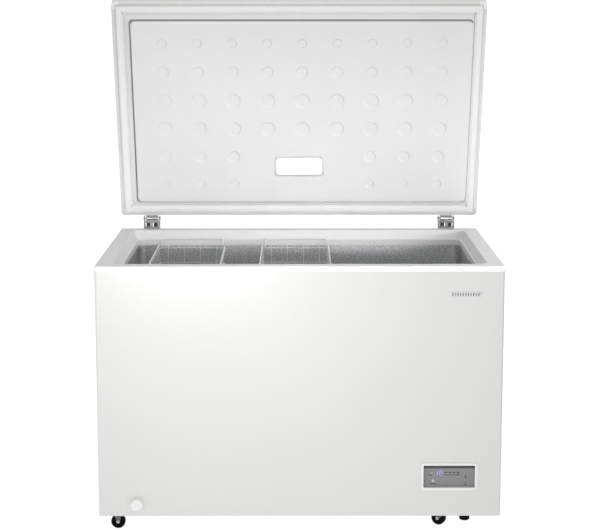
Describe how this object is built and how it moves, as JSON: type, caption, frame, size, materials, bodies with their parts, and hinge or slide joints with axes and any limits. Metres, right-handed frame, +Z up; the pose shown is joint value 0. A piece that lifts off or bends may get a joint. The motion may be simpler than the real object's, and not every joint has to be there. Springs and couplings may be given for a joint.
{
  "type": "chest freezer",
  "caption": "Chest freezer with an insulated cabinet, a sprung top lid with a lamp, hanging baskets, front controls, a drain outlet and casters.",
  "frame": {"origin": "centre of the whole object's footprint on the floor, with the lid open as modelled", "axes": "+X to the right as seen from the front, +Y to the back where the hinges are, +Z up"},
  "size_m": [1.118, 0.743, 1.4776],
  "materials": {
    "white_enamel": "smooth white enamelled steel sheet",
    "galvanised_sheet": "bare galvanised steel sheet",
    "white_moulding": "white moulded plastic, low gloss",
    "foam": "rigid polyurethane foam",
    "stucco_aluminium": "stucco-embossed aluminium sheet",
    "black_plastic": "black moulded plastic",
    "aluminium_tube": "drawn aluminium tube",
    "copper_tube": "drawn copper tube",
    "black_enamel": "black enamelled steel",
    "black_rubber": "black rubber",
    "grey_window": "grey printed control fascia",
    "circuit_board": "green circuit board",
    "satin_badge": "satin metal badge",
    "grey_plastic": "grey moulded plastic",
    "zinc_steel": "zinc-plated steel",
    "caster_steel": "dull grey steel",
    "spring_steel": "oiled spring steel wire",
    "lid_liner_plastic": "white vacuum-formed polystyrene",
    "white_gasket": "soft white PVC magnetic gasket",
    "lamp_diffuser": "opal lamp diffuser",
    "key_plastic": "grey push key",
    "coated_wire": "white plastic-coated steel wire",
    "caster_tyre": "black caster wheel"
  },
  "bodies": {
    "cabinet": {"outer_shell": "white_enamel", "back_panel": "galvanised_sheet", "rim_frame": "white_moulding", "insulation_foam": "foam", "inner_liner": "stucco_aluminium", "base_pan": "galvanised_sheet", "compressor_tray": "galvanised_sheet", "vent_grille": "white_moulding", "rear_bay_cover": "galvanised_sheet", "power_inlet_gland": "black_plastic", "evaporator_coil": "aluminium_tube", "condenser_coil": "copper_tube", "compressor": "black_enamel", "compressor_mounts": "black_rubber", "starter_cover": "black_plastic", "filter_drier": "copper_tube", "refrigerant_lines": "copper_tube", "control_bezel": "white_moulding", "display_window": "grey_window", "control_board": "circuit_board", "badge": "satin_badge", "drain_escutcheon": "white_moulding", "drain_tube": "grey_plastic", "support_foot": "black_rubber", "hinge_base_left": "zinc_steel", "hinge_base_right": "zinc_steel", "hinge_base_screws": "zinc_steel", "hinge_pins": "zinc_steel", "hinge_springs": "spring_steel", "caster_fork_front_left": "caster_steel", "caster_axle_front_left": "zinc_steel", "caster_fork_rear_left": "caster_steel", "caster_axle_rear_left": "zinc_steel", "caster_swivel_mounts": "zinc_steel"},
    "lid": {"lid_shell": "white_enamel", "lid_foam": "foam", "lid_liner": "lid_liner_plastic", "lid_gasket": "white_gasket", "lid_corner_caps": "white_moulding", "lamp_housing": "white_moulding", "lamp_board": "circuit_board", "lamp_lens": "lamp_diffuser", "hinge_leaf_left": "zinc_steel", "hinge_leaf_right": "zinc_steel", "hinge_leaf_screws": "zinc_steel"},
    "key_up": {"key_up": "key_plastic"},
    "key_down": {"key_down": "key_plastic"},
    "key_mode": {"key_mode": "key_plastic"},
    "drain_spout": {"drain_spout": "white_moulding"},
    "drain_plug": {"drain_plug": "grey_plastic"},
    "basket_left": {"basket_left": "coated_wire"},
    "basket_right": {"basket_right": "coated_wire"},
    "wheel_front_left": {"caster_wheel_front_left": "caster_tyre"},
    "wheel_rear_left": {"caster_wheel_rear_left": "caster_tyre"},
    "swivel_front_right": {"caster_fork_front_right": "caster_steel", "caster_axle_front_right": "zinc_steel"},
    "wheel_front_right": {"caster_wheel_front_right": "caster_tyre"},
    "swivel_rear_right": {"caster_fork_rear_right": "caster_steel", "caster_axle_rear_right": "zinc_steel"},
    "wheel_rear_right": {"caster_wheel_rear_right": "caster_tyre"}
  },
  "joints": [
    {"name": "lid_hinge", "type": "hinge", "parent": "cabinet", "child": "lid", "pos_m": [0, 0.35447, 0.7885], "axis": [-1, 0, 0], "range_deg": [-73.5, 15], "stiffness_Nm_per_rad": 14, "springref_deg": 42.97},
    {"name": "key_up_press", "type": "slide", "parent": "cabinet", "child": "key_up", "axis": [0, 1, 0], "range_m": [0, 0.0008], "stiffness_N_per_m": 600},
    {"name": "key_down_press", "type": "slide", "parent": "cabinet", "child": "key_down", "axis": [0, 1, 0], "range_m": [0, 0.0008], "stiffness_N_per_m": 600},
    {"name": "key_mode_press", "type": "slide", "parent": "cabinet", "child": "key_mode", "axis": [0, 1, 0], "range_m": [0, 0.0008], "stiffness_N_per_m": 600},
    {"name": "drain_spout_pull", "type": "slide", "parent": "cabinet", "child": "drain_spout", "axis": [0, -1, 0], "range_m": [0, 0.022]},
    {"name": "drain_plug_lift", "type": "slide", "parent": "cabinet", "child": "drain_plug", "axis": [0, 0, 1], "range_m": [0, 0.06]},
    {"name": "basket_left_slide", "type": "slide", "parent": "cabinet", "child": "basket_left", "axis": [1, 0, 0], "range_m": [-0.045, 0.1]},
    {"name": "basket_right_slide", "type": "slide", "parent": "cabinet", "child": "basket_right", "axis": [1, 0, 0], "range_m": [-0.1, 0.38]},
    {"name": "wheel_front_left_roll", "type": "hinge", "parent": "cabinet", "child": "wheel_front_left", "pos_m": [-0.512, -0.29853, 0.02], "axis": [0, 1, 0], "continuous": true},
    {"name": "wheel_rear_left_roll", "type": "hinge", "parent": "cabinet", "child": "wheel_rear_left", "pos_m": [-0.512, 0.27647, 0.02], "axis": [0, 1, 0], "continuous": true},
    {"name": "swivel_front_right_turn", "type": "hinge", "parent": "cabinet", "child": "swivel_front_right", "pos_m": [0.409, -0.27953, 0.05], "axis": [0, 0, 1], "continuous": true},
    {"name": "wheel_front_right_roll", "type": "hinge", "parent": "swivel_front_right", "child": "wheel_front_right", "pos_m": [0.39564, -0.27272, 0.02], "axis": [0.454, 0.891, 0], "continuous": true},
    {"name": "swivel_rear_right_turn", "type": "hinge", "parent": "cabinet", "child": "swivel_rear_right", "pos_m": [0.409, 0.26647, 0.05], "axis": [0, 0, 1], "continuous": true},
    {"name": "wheel_rear_right_roll", "type": "hinge", "parent": "swivel_rear_right", "child": "wheel_rear_right", "pos_m": [0.39433, 0.26335, 0.02], "axis": [-0.2079, 0.9781, 0], "continuous": true}
  ]
}
